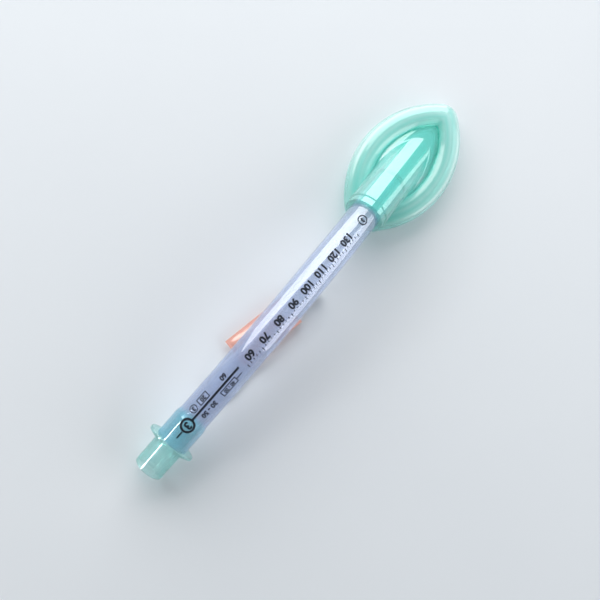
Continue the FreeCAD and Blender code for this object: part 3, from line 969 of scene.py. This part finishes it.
@dataclass
class Print:
    """The black print on the tube: reference line, size ring and a plain graduated scale."""

    line: tuple[float, float] = (16.8, 48.6)
    line_width: float = 1.05
    ring_at: float = 13.2
    ring_radius: float = 3.15
    ring_width: float = 1.15
    ring_sides: int = 48
    outline_width: float = 0.4
    number_height: float = 3.5
    number_side: float = 0.1
    numbers: range = range(60, 140, 10)
    number_back: float = 4.0
    em: float = 1.38
    weight: float = 0.06
    lift: float = 0.012
    thick: float = 0.05
    cell: tuple[float, float] = (1.5, 0.5)

    def build(self) -> bpy.types.Object:
        """Builds the whole print as one piece.

        Each mark gives its place along the tube and across it, towards -Y, in millimetres.
        """
        sheets = [
            self._bar(self.line[0], self.line[1], -self.line_width / 2, self.line_width / 2),
            self._bar(5.2, 9.2, -0.36, 0.36),
            self._ring(self.ring_at, 0.0, self.ring_radius, self.ring_width),
            self._figure("3", self.ring_at, 0.0, 3.9),
            self._ring(21.0, -3.1, 1.85, self.outline_width),
            self._figure("3", 21.0, -3.1, 2.1),
            self._frame(24.4, 30.7, -4.9, -1.3, self.outline_width),
            self._figure("20", 27.5, -3.1, 2.1),
            self._figure("60", 40.8, -2.7, 2.4),
            self._figure("30 - 50", 25.6, 2.7, 2.4),
            self._frame(34.4, 44.2, 1.3, 4.4, self.outline_width),
            self._figure("40 : 20", 39.3, 2.85, 1.7),
            self._bar(44.2, 47.7, 2.65, 3.05),
            self._ring(139.6, 0.4, 2.3, 0.55),
            self._figure("3", 139.6, 0.4, 2.5),
            self._ticks(),
        ]
        for number in self.numbers:
            place = number - self.number_back
            sheets.append(self._figure(str(number), place, self.number_side, self.number_height))
        whole = bmesh.new()
        for sheet in sheets:
            self._wrap(sheet, whole)
        piece = from_bmesh("tube_print", whole, BLACK_INK.material(), angle=40.0)
        settle(piece, "airway", "tube")
        return piece

    def _bar(self, start: float, end: float, low: float, high: float) -> bmesh.types.BMesh:
        """A plain bar."""
        sheet = bmesh.new()
        corners = [(start, low), (end, low), (end, high), (start, high)]
        sheet.faces.new([sheet.verts.new((x, y, 0)) for x, y in corners])
        return sheet

    def _ring(self, x: float, y: float, radius: float, width: float) -> bmesh.types.BMesh:
        """A round outline."""
        sheet = bmesh.new()
        loops = [
            [sheet.verts.new((x + a, y + b, 0)) for a, b in circle(r, self.ring_sides)]
            for r in (radius + width / 2, radius - width / 2)
        ]
        loft(sheet, loops, closed=False)
        return sheet

    def _frame(self, x0: float, x1: float, y0: float, y1: float, width: float) -> bmesh.types.BMesh:
        """A box outline."""
        sheet = bmesh.new()
        outer = [(x0, y0), (x1, y0), (x1, y1), (x0, y1)]
        inner = [
            (x0 + width, y0 + width),
            (x1 - width, y0 + width),
            (x1 - width, y1 - width),
            (x0 + width, y1 - width),
        ]
        loft(sheet, [[sheet.verts.new((x, y, 0)) for x, y in ring] for ring in (outer, inner)], closed=False)
        return sheet

    def _figure(self, text: str, x: float, y: float, height: float) -> bmesh.types.BMesh:
        """Plain figures, read from the mask's side.

        Args:
            text: The figures.
            x: Their middle along the tube, in millimetres.
            y: Their middle across the tube, in millimetres.
            height: How tall they are, in millimetres.

        Returns:
            The flat sheet.
        """
        curve = bpy.data.curves.new("figures", "FONT")
        curve.body = text
        curve.align_x, curve.align_y = "CENTER", "CENTER"
        curve.size = self.em * height
        curve.offset = self.weight * height
        curve.resolution_u = 4
        holder = linked("figures", curve)
        graph = bpy.context.evaluated_depsgraph_get()
        mesh = bpy.data.meshes.new_from_object(holder.evaluated_get(graph))
        bpy.data.objects.remove(holder)
        bpy.data.curves.remove(curve)
        mesh.transform(Matrix.Translation((x, y, 0)) @ Matrix.Scale(-1, 4, (1, 0, 0)))
        sheet = bmesh.new()
        sheet.from_mesh(mesh)
        bpy.data.meshes.remove(mesh)
        bmesh.ops.remove_doubles(sheet, verts=sheet.verts, dist=FLAT_WELD)
        return sheet

    def _ticks(self) -> bmesh.types.BMesh:
        """The scale's ticks as a flat sheet."""
        holder = TickRow().build()
        sheet = bmesh.new()
        sheet.from_mesh(holder.data)
        bpy.data.objects.remove(holder)
        return sheet

    def _wrap(self, sheet: bmesh.types.BMesh, whole: bmesh.types.BMesh) -> None:
        """Cuts a flat sheet finely, lays it round the tube with its thickness, and adds it.

        Args:
            sheet: The flat sheet, which is freed.
            whole: What it is added to.
        """
        places = [v.co.copy() for v in sheet.verts]
        for axis, step in enumerate(self.cell):
            normal = Vector((1, 0, 0)) if axis == 0 else Vector((0, 1, 0))
            place = math.ceil(min(co[axis] for co in places) / step) * step
            high = max(co[axis] for co in places)
            while place < high:
                geometry = sheet.verts[:] + sheet.edges[:] + sheet.faces[:]
                cut = {"dist": FLAT_WELD, "plane_co": normal * place, "plane_no": normal}
                bmesh.ops.bisect_plane(sheet, geom=geometry, **cut)
                place += step
        bmesh.ops.triangulate(sheet, faces=[f for f in sheet.faces if len(f.verts) > 4])
        sheet.verts.index_update()
        top = [
            whole.verts.new(ROUTE.on_surface(v.co.x, v.co.y, self.lift + self.thick))
            for v in sheet.verts
        ]
        base = [whole.verts.new(ROUTE.on_surface(v.co.x, v.co.y, self.lift)) for v in sheet.verts]
        for face in sheet.faces:
            ids = [v.index for v in face.verts]
            whole.faces.new([top[i] for i in ids])
            whole.faces.new([base[i] for i in reversed(ids)])
        for edge in sheet.edges:
            if len(edge.link_faces) == 1:
                a, b = (v.index for v in edge.verts)
                whole.faces.new((top[a], top[b], base[b], base[a]))
        sheet.free()


@dataclass
class Airway:
    """The airway tube with its print, and the connector."""

    sides: int = 128

    def build(self) -> None:
        """Builds both pieces and the print."""
        self._tube()
        finished_copy(
            "connector", "connector_moulding", CONNECTOR_PLASTIC.material(), "airway", "connector"
        )
        Print().build()

    def _tube(self) -> bpy.types.Object:
        """The tube's wall, lofted finely along its route."""
        form = bmesh.new()
        loops = []
        for distance, radius in ROUTE.skin():
            centre, way = ROUTE.at(distance)
            loop = []
            for i in range(self.sides):
                out = ROUTE.around(way, 2 * math.pi * i / self.sides)
                loop.append(form.verts.new((centre + out * radius) * MM))
            loops.append(loop)
        loft(form, loops, closed=True)
        piece = from_bmesh("airway_tube_wall", form, TUBE_VINYL.material())
        settle(piece, "airway", "tube", "airway_tube")
        return piece


@dataclass(frozen=True)
class LensOutline:
    """The mask's outline: two long side arcs with a small arc at the nose and at the tail."""

    side_radius: float = 48.565492
    side_x: float = 38.718492
    side_y: float = 24.565492
    shift_x: float = 40.7454

    def arcs(self, inset: float, nose: float, tail: float) -> list[tuple[Vector, float, float, float]]:
        """The four arcs as (centre, radius, first angle, last angle), in millimetres, anticlockwise."""
        side = self.side_radius - inset
        ends = {}
        for sign, radius in ((1, nose), (-1, tail)):
            away = side - radius
            reach = math.sqrt(away**2 - self.side_y**2)
            ends[sign] = (self.side_x + sign * reach, radius, math.atan2(self.side_y, reach))
        nose_x, nose_r, nose_tilt = ends[1]
        tail_x, tail_r, tail_tilt = ends[-1]
        return [
            (Vector((nose_x, 0, 0)), nose_r, -nose_tilt, nose_tilt),
            (Vector((self.side_x, -self.side_y, 0)), side, nose_tilt, math.pi - tail_tilt),
            (Vector((tail_x, 0, 0)), tail_r, math.pi - tail_tilt, math.pi + tail_tilt),
            (Vector((self.side_x, self.side_y, 0)), side, math.pi + tail_tilt, 2 * math.pi - nose_tilt),
        ]

    def points(self, inset: float, nose: float, tail: float, steps: Sequence[int]) -> list[Vector]:
        """Points along the outline, with a number of steps for each arc."""
        found = []
        for (centre, radius, first, last), count in zip(self.arcs(inset, nose, tail), steps):
            for i in range(count):
                out = level(first + (last - first) * i / count)
                found.append(centre + out * radius + Vector((self.shift_x, 0, 0)))
        return found


@dataclass
class Mask:
    """The mask: its clear backplate with the neck, and the blown cuff round it."""

    outline: LensOutline = LensOutline()
    height: float = 12.5
    band: float = 12.2
    nose: float = 8.0
    tail: float = 13.0
    opening_end: float = 2.2
    squareness: float = 2.5
    ripple: float = 0.026
    ripples: int = 7
    ripple_start: float = 0.9
    parting_line: float = 0.055
    parting_width: float = 0.05
    neck_radius: float = 10.85
    neck_length: float = 24.5
    neck_floor: float = 3.0
    neck_behind: float = 6.0
    neck_ahead: float = 70.0
    cut_overlap: float = 0.02
    stop_thickness: float = 2.2
    plate_floor: float = 5.0
    port_end: float = 35.75
    port_root: float = 44.0
    port_radius: float = 2.15
    port_bore: float = 1.05
    port_depth: float = 5.0
    port_height: float = 5.4
    port_sides: int = 32
    neck_sides: int = 96
    steps: tuple[int, int, int, int] = (26, 60, 30, 60)
    section_steps: int = 96

    def build(self) -> None:
        """Builds the backplate and the cuff."""
        finished_copy(
            "mask_backplate", "mask_backplate_moulding", PLATE_PLASTIC.material(), "airway", "backplate"
        )
        self._cuff()

    def _section(self, angle: float) -> tuple[float, float]:
        """A point of the ring's section: the share of the way in, and the share of the height."""
        c, s = math.cos(angle), math.sin(angle)
        power = 2 / self.squareness
        wave = math.cos(self.ripples * angle + self.ripple_start)
        swell = 1.0 + self.ripple * wave * max(0.0, s) ** 0.5
        seam = self.parting_line * math.exp(-((math.sin(angle / 2) / self.parting_width) ** 2))
        across = math.copysign(abs(c) ** power, c) * (swell + seam)
        up = math.copysign(abs(s) ** power, s) * min(1.0, swell)
        return 0.5 - 0.5 * across, 0.5 + 0.5 * up

    def _cuff(self) -> bpy.types.Object:
        """The cuff: a film ring of even wall, cut for the neck."""
        outer = self.outline.points(0.0, self.nose, self.tail, self.steps)
        inner = self.outline.points(self.band, self.opening_end, self.opening_end, self.steps)
        section = [self._section(2 * math.pi * k / self.section_steps) for k in range(self.section_steps)]
        form = bmesh.new()
        rings = []
        for a, b in zip(outer, inner):
            places = [a.lerp(b, across) + Vector((0, 0, up * self.height)) for across, up in section]
            rings.append([form.verts.new(place * MM) for place in places])
        loft(form, rings, closed=True)
        piece = from_bmesh("cuff_film_ring", form, None, angle=60.0)
        cut_away(piece, self._port(), "UNION")
        for tool in self._neck_tools():
            cut_away(piece, tool)
        coat(piece.data, CUFF_FILM.material())
        smooth(piece.data, angle=40.0)
        settle(piece, "airway", "cuff", "cuff")
        return piece

    def _port(self) -> bpy.types.Object:
        """The inflation port's short sleeve, with the line's bore."""
        form = bmesh.new()
        profile = (
            (self.port_root, self.port_radius),
            (self.port_end, self.port_radius),
            (self.port_end, self.port_bore),
            (self.port_end + self.port_depth, self.port_bore),
        )
        loops = [
            [
                form.verts.new(Vector((x, y, self.port_height + z)) * MM)
                for y, z in circle(r, self.port_sides)
            ]
            for x, r in profile
        ]
        loft(form, loops, closed=False)
        form.faces.new(loops[0])
        form.faces.new(list(reversed(loops[-1])))
        return from_bmesh("port", form, None)

    def _neck_tools(self) -> list[bpy.types.Object]:
        """The bars that hollow the cuff for the neck: one behind the tube's stop, one ahead of it."""
        mouth, way = ROUTE.at(ROUTE.straight + ROUTE.arch_length)
        stop = self.neck_length + self.stop_thickness
        spans = (
            (-self.neck_behind, stop, self.neck_floor),
            (stop - self.cut_overlap, self.neck_ahead, self.plate_floor),
        )
        tools = []
        for first, last, base in spans:
            form = bmesh.new()
            bmesh.ops.create_cone(
                form,
                cap_ends=True,
                segments=self.neck_sides,
                radius1=self.neck_radius * MM,
                radius2=self.neck_radius * MM,
                depth=(last - first) * MM,
                matrix=aligned((mouth + way * (first + last) / 2) * MM, way),
            )
            geometry = form.verts[:] + form.edges[:] + form.faces[:]
            bmesh.ops.bisect_plane(
                form,
                geom=geometry,
                dist=1e-8,
                plane_co=(0, 0, base * MM),
                plane_no=(0, 0, -1),
                clear_outer=True,
            )
            rim = [e for e in form.edges if len(e.link_faces) == 1]
            bmesh.ops.holes_fill(form, edges=rim)
            tools.append(from_bmesh("neck_tool", form, None))
        return tools


@dataclass
class PilotLine:
    """The inflation line and the pilot balloon that shows how full the cuff is."""

    line_radius: float = 1.0
    shift_x: float = 40.7454
    route: tuple[tuple[float, float, float], ...] = (
        (0.0, 0.0, 5.4),
        (-11.0, 0.0, 5.4),
        (-22.5, 1.8, 1.3),
        (-36.0, 4.2, 1.1),
        (-47.0, 3.2, 3.2),
        (-56.5, 0.4, 10.4),
        (-66.5, -4.8, 10.8),
        (-78.5, -8.9, 4.0),
        (-89.0, -8.1, 1.1),
        (-97.5, -8.6, 1.2),
        (-105.8, -8.5, 1.1),
        (-109.9, -4.3, 1.1),
        (-109.7, 1.55, 1.2),
        (-105.3, 5.45, 1.2),
        (-94.059, 4.379, 3.25),
        (-83.261, 2.281, 3.25),
    )
    exit: tuple[float, float, float] = (35.7454, 0.0, 5.4)
    balloon_middle: tuple[float, float, float] = (-29.7546, -0.2, 3.25)
    turn_deg: float = -11.0
    length: float = 36.0
    width: float = 16.0
    depth: float = 2.9
    seam: float = 1.5
    film: float = 0.6
    gather: float = 0.72
    crown_along: float = 2.6
    crown_across: float = 2.4
    crown_power: float = 0.62
    rim_crease: float = 0.10
    rim_waves: float = 1.9
    rim_bend: float = 0.6
    end_crease: float = 0.12
    end_waves: float = 1.5
    end_start: float = 0.4
    rows: int = 26
    columns: int = 54

    def build_line(self) -> bpy.types.Object:
        """The line as one smooth curve on its route."""
        curve = bpy.data.curves.new("inflation_line_tube", "CURVE")
        curve.dimensions = "3D"
        curve.bevel_depth = self.line_radius * MM
        curve.bevel_resolution = 5
        curve.use_fill_caps = True
        spline = curve.splines.new("NURBS")
        spline.points.add(len(self.route) - 1)
        for point, (x, y, z) in zip(spline.points, self.route):
            point.co = ((x + self.shift_x) * MM, y * MM, z * MM, 1.0)
        spline.order_u = 3
        spline.use_endpoint_u = True
        spline.resolution_u = 16
        curve.materials.append(LINE_VINYL.material())
        piece = linked("inflation_line_tube", curve)
        settle(piece, "airway", "line", "inflation_line")
        return piece

    def build_balloon(self) -> bpy.types.Object:
        """The pouch: two crowned films welded along a flat seam, with soft creases at its rim."""
        xs = [self.length / 2 * self._spread(2 * j / self.columns - 1) for j in range(self.columns + 1)]
        ys = [self.width / 2 * self._spread(2 * i / self.rows - 1) for i in range(self.rows + 1)]
        form = bmesh.new()
        rims = []
        for sign in (1, -1):
            grid = [[form.verts.new((x, y, sign * self._rise(x, y))) for x in xs] for y in ys]
            for line, after in zip(grid, grid[1:]):
                for j in range(self.columns):
                    form.faces.new((line[j], line[j + 1], after[j + 1], after[j])[::sign])
            rims.append(self._rim(grid))
        loft(form, rims, closed=False)
        turn = Matrix.Rotation(math.radians(self.turn_deg), 4, "Z")
        place = Matrix.Translation(Vector(self.balloon_middle) * MM)
        bmesh.ops.transform(form, matrix=place @ turn @ Matrix.Scale(MM, 4), verts=form.verts)
        piece = from_bmesh("pilot_balloon_pouch", form, BALLOON_FILM.material(), angle=50.0)
        settle(piece, "airway", "balloon", "pilot_balloon")
        return piece

    def _rise(self, x: float, y: float) -> float:
        """Half the pouch's depth at a point, in millimetres."""
        u = abs(x) / (self.length / 2 - self.seam)
        v = abs(y) / (self.width / 2 - self.seam)
        if u >= 1 or v >= 1:
            return self.film / 2
        swell = ((1 - u**self.crown_along) * (1 - v**self.crown_across)) ** self.crown_power
        wave = math.sin(x * self.rim_waves + self.rim_bend * math.sin(y))
        crease = self.rim_crease * wave * v**3 * (1 - v)
        crease += self.end_crease * math.sin(y * self.end_waves + self.end_start) * u**4 * (1 - u) * 4
        return self.film / 2 + (self.depth - self.film / 2) * swell + crease

    def _spread(self, share: float) -> float:
        """Draws the grid's lines together towards the seam."""
        return math.copysign(abs(share) ** self.gather, share)

    def _rim(self, grid: list[list[bmesh.types.BMVert]]) -> list[bmesh.types.BMVert]:
        """The outer points of a grid, in order round it."""
        return (
            grid[0][:-1]
            + [row[-1] for row in grid[:-1]]
            + list(reversed(grid[-1][1:]))
            + [row[0] for row in reversed(grid[1:])]
        )


@dataclass(frozen=True)
class ValveAxis:
    """The valve's middle line, from the start of its body to its mouth."""

    start: tuple[float, float, float] = (-12.0853, -3.6346, 3.25)
    turn_deg: float = -11.0

    @property
    def way(self) -> Vector:
        """The way to the mouth."""
        return level(math.radians(self.turn_deg))

    def at(self, distance: float) -> Vector:
        """The point at a distance from the start in millimetres, in metres."""
        return (Vector(self.start) + self.way * distance) * MM


VALVE_AXIS = ValveAxis()


@dataclass
class GripRibs:
    """The fine ribs round the valve body's waist."""

    first: float = 4.7
    length: float = 9.3
    radius: float = 2.95
    ribs: int = 18
    width: float = 0.42
    proud: float = 0.26

    def build(self) -> bpy.types.Object:
        """Builds the ribs as one piece."""
        kit = NodeKit(
            "grip_ribs",
            {
                "Count": self.ribs,
                "Radius": self.radius,
                "Length": self.length,
                "Width": self.width,
                "Proud": self.proud,
                "Finish": VALVE_WHITE.material(),
            },
        )
        given, add = kit.given, kit.add
        ring = add("GeometryNodeMeshCircle", {"Vertices": given["Count"], "Radius": given["Radius"]})
        size = add(
            "ShaderNodeCombineXYZ", {"X": given["Proud"], "Y": given["Width"], "Z": given["Length"]}
        )
        bar = add(
            "GeometryNodeMeshCube", {"Size": size, "Vertices X": 2, "Vertices Y": 2, "Vertices Z": 6}
        )
        where = add("GeometryNodeInputPosition", {})
        out = add("FunctionNodeAlignRotationToVector", {"Vector": where}, axis="X")
        kit.end(add("GeometryNodeInstanceOnPoints", {"Points": ring, "Instance": bar, "Rotation": out}))
        piece = kit.run("valve_grip_ribs")
        middle = VALVE_AXIS.at(self.first + self.length / 2)
        piece.data.transform(aligned(middle, VALVE_AXIS.way) @ Matrix.Scale(MM, 4))
        smooth(piece.data, angle=30.0)
        settle(piece, "airway", "valve_body")
        return piece


@dataclass
class Valve:
    """The pilot balloon's spring valve: white body, blue plunger, seal and spring.

    Places along the valve are millimetres from the start of its body.
    """

    chamber_end: float = 0.8
    head_back: float = 6.35
    travel: float = 1.3

    def _coil(self) -> bpy.types.Object:
        """The spring, which stands on the chamber's end."""
        coil = finished_copy("valve_spring", "valve_coil", WIRE_STEEL.material(), "airway", "valve_spring")
        foot = VALVE_AXIS.at(self.chamber_end)
        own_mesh(coil)
        return coil

    def build(self) -> list[bpy.types.Object]:
        """Builds the four pieces and the body's ribs."""
        return [
            GripRibs().build(),
            finished_copy("valve_housing", "valve_body", VALVE_WHITE.material(), "airway", "valve_body"),
            self._coil(),
            finished_copy("valve_plunger", "valve_stem", PLUNGER_BLUE.material(), "plunger", "valve_plunger"),
            finished_copy("valve_seal", "valve_washer", SEAL_RUBBER.material(), "plunger", "valve_seal"),
        ]


@dataclass(frozen=True)
class Softbox:
    """A soft rectangular lamp that faces the airway from a bearing, a height angle and a distance."""

    name: str
    bearing_deg: float
    height_deg: float
    away: float
    width: float
    tall: float
    power: float
    colour: Colour = (1.0, 1.0, 1.0)

    def hang(self) -> None:
        """Hangs the lamp."""
        data = bpy.data.lights.new(self.name, "AREA")
        data.shape = "RECTANGLE"
        data.size, data.size_y = self.width, self.tall
        data.energy = self.power
        data.color = self.colour
        lamp = linked(self.name, data)
        height = math.radians(self.height_deg)
        flat = level(math.radians(self.bearing_deg))
        way = flat * math.cos(height) + Vector((0, 0, math.sin(height)))
        lamp.location = way * self.away
        lamp.rotation_mode = "QUATERNION"
        lamp.rotation_quaternion = way.to_track_quat("Z", "Y")


@dataclass
class Studio:
    """The camera, the table and the light."""

    eye: tuple[float, float, float] = (-0.13703, 0.03847, 0.68617)
    target: tuple[float, float, float] = (-0.0053, -0.00405, 0.0)
    heading_deg: float = 39.89
    lens: float = 84.508
    sensor: float = 36.0
    table_radius: float = 1.15
    table_sides: int = 128
    table_drop: float = 0.00005
    surround: Colour = (0.95, 0.975, 1.0)
    surround_strength: float = 0.19
    backdrop: Colour = (0.70, 0.74, 0.78)
    lamps: tuple[Softbox, ...] = (
        Softbox("window", 51.0, 29.0, 1.2, 2.05, 1.18, 28.0, (1.0, 0.995, 0.98)),
        Softbox("strip", 137.0, 27.0, 1.1, 0.26, 0.09, 1.4),
        Softbox("fill", -63.0, 23.0, 1.3, 1.4, 0.95, 9.5, (0.98, 0.99, 1.0)),
    )

    def place_camera(self) -> None:
        """Stands the camera nearly above the airway, with the airway across the picture's corner."""
        data = bpy.data.cameras.new("camera")
        data.lens = self.lens
        data.sensor_width = self.sensor
        data.sensor_fit = "AUTO"
        data.clip_start, data.clip_end = 0.01, 20.0
        camera = linked("camera", data)
        eye, target = Vector(self.eye), Vector(self.target)
        ahead = (target - eye).normalized()
        right = ahead.cross(level(math.radians(self.heading_deg))).normalized()
        up = right.cross(ahead)
        camera.matrix_world = Matrix.Translation(eye) @ Matrix((right, up, -ahead)).transposed().to_4x4()
        bpy.context.scene.camera = camera

    def build(self) -> None:
        """Lays the table and sets the light."""
        form = bmesh.new()
        low = Matrix.Translation((0, 0, -self.table_drop))
        bmesh.ops.create_circle(
            form, cap_ends=True, segments=self.table_sides, radius=self.table_radius, matrix=low
        )
        table = from_bmesh("table", form, TABLE_TOP.material())
        self._world()
        for lamp in self.lamps:
            lamp.hang()

    def _world(self) -> None:
        """An even pale surround, which is brighter where it is seen, mirrored or looked at through."""
        world = bpy.data.worlds.new("surround")
        world.use_nodes = True
        tree = world.node_tree
        light = tree.nodes["Background"]
        light.inputs["Color"].default_value = (*self.surround, 1.0)
        light.inputs["Strength"].default_value = self.surround_strength
        shown = tree.nodes.new("ShaderNodeBackground")
        shown.inputs["Color"].default_value = (*self.backdrop, 1.0)
        shown.inputs["Strength"].default_value = 1.0
        rays = tree.nodes.new("ShaderNodeLightPath")
        mix = tree.nodes.new("ShaderNodeMixShader")
        seen = rays.outputs["Is Camera Ray"]
        for kind in ("Is Glossy Ray", "Is Transmission Ray"):
            both = tree.nodes.new("ShaderNodeMath")
            both.operation = "ADD"
            both.use_clamp = True
            tree.links.new(seen, both.inputs[0])
            tree.links.new(rays.outputs[kind], both.inputs[1])
            seen = both.outputs[0]
        tree.links.new(seen, mix.inputs[0])
        tree.links.new(light.outputs[0], mix.inputs[1])
        tree.links.new(shown.outputs[0], mix.inputs[2])
        tree.links.new(mix.outputs[0], tree.nodes["World Output"].inputs["Surface"])
        bpy.context.scene.world = world


def main() -> None:
    """Builds the whole scene in order."""
    logging.basicConfig(level=logging.INFO, format="%(name)s %(message)s")
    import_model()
    studio = Studio()
    studio.place_camera()
    pilot = PilotLine()
    line = pilot.build_line()
    balloon = pilot.build_balloon()
    fittings = Valve().build()
    Airway().build()
    Mask().build()
    studio.build()
    scene = bpy.context.scene
    scene.view_settings.view_transform = "Standard"


if __name__ == "__main__":
    main()
